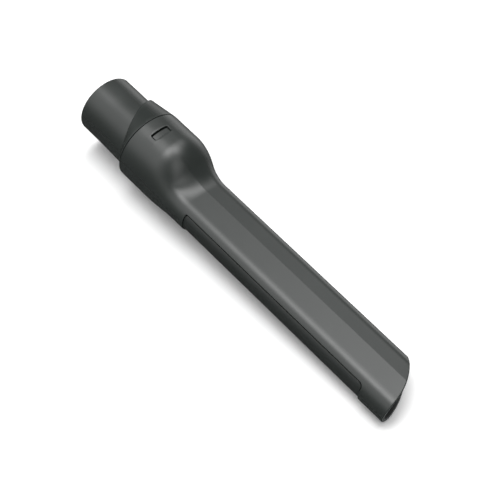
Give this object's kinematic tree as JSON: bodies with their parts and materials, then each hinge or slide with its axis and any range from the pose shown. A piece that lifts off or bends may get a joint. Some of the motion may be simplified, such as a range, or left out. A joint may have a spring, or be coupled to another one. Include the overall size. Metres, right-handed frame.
{
  "type": "crevice nozzle",
  "caption": "Long flattened vacuum crevice nozzle with a slanted mouth, a round bulge, a plug-in neck with a slanted collar and a cover let into its spine.",
  "frame": {"origin": "centre of the neck's open end", "axes": "+X along the neck's axis towards the mouth, -Y towards the blade's spine and its cover, +Z square to one flat flank"},
  "size_m": [0.244, 0.0426, 0.0426],
  "materials": {
    "body_plastic": "satin moulded",
    "neck_plastic": "satin moulded",
    "cover_plastic": "satin moulded"
  },
  "bodies": {
    "root": {"nozzle_body": "body_plastic", "connector": "neck_plastic", "spine_cover": "cover_plastic"}
  },
  "joints": []
}
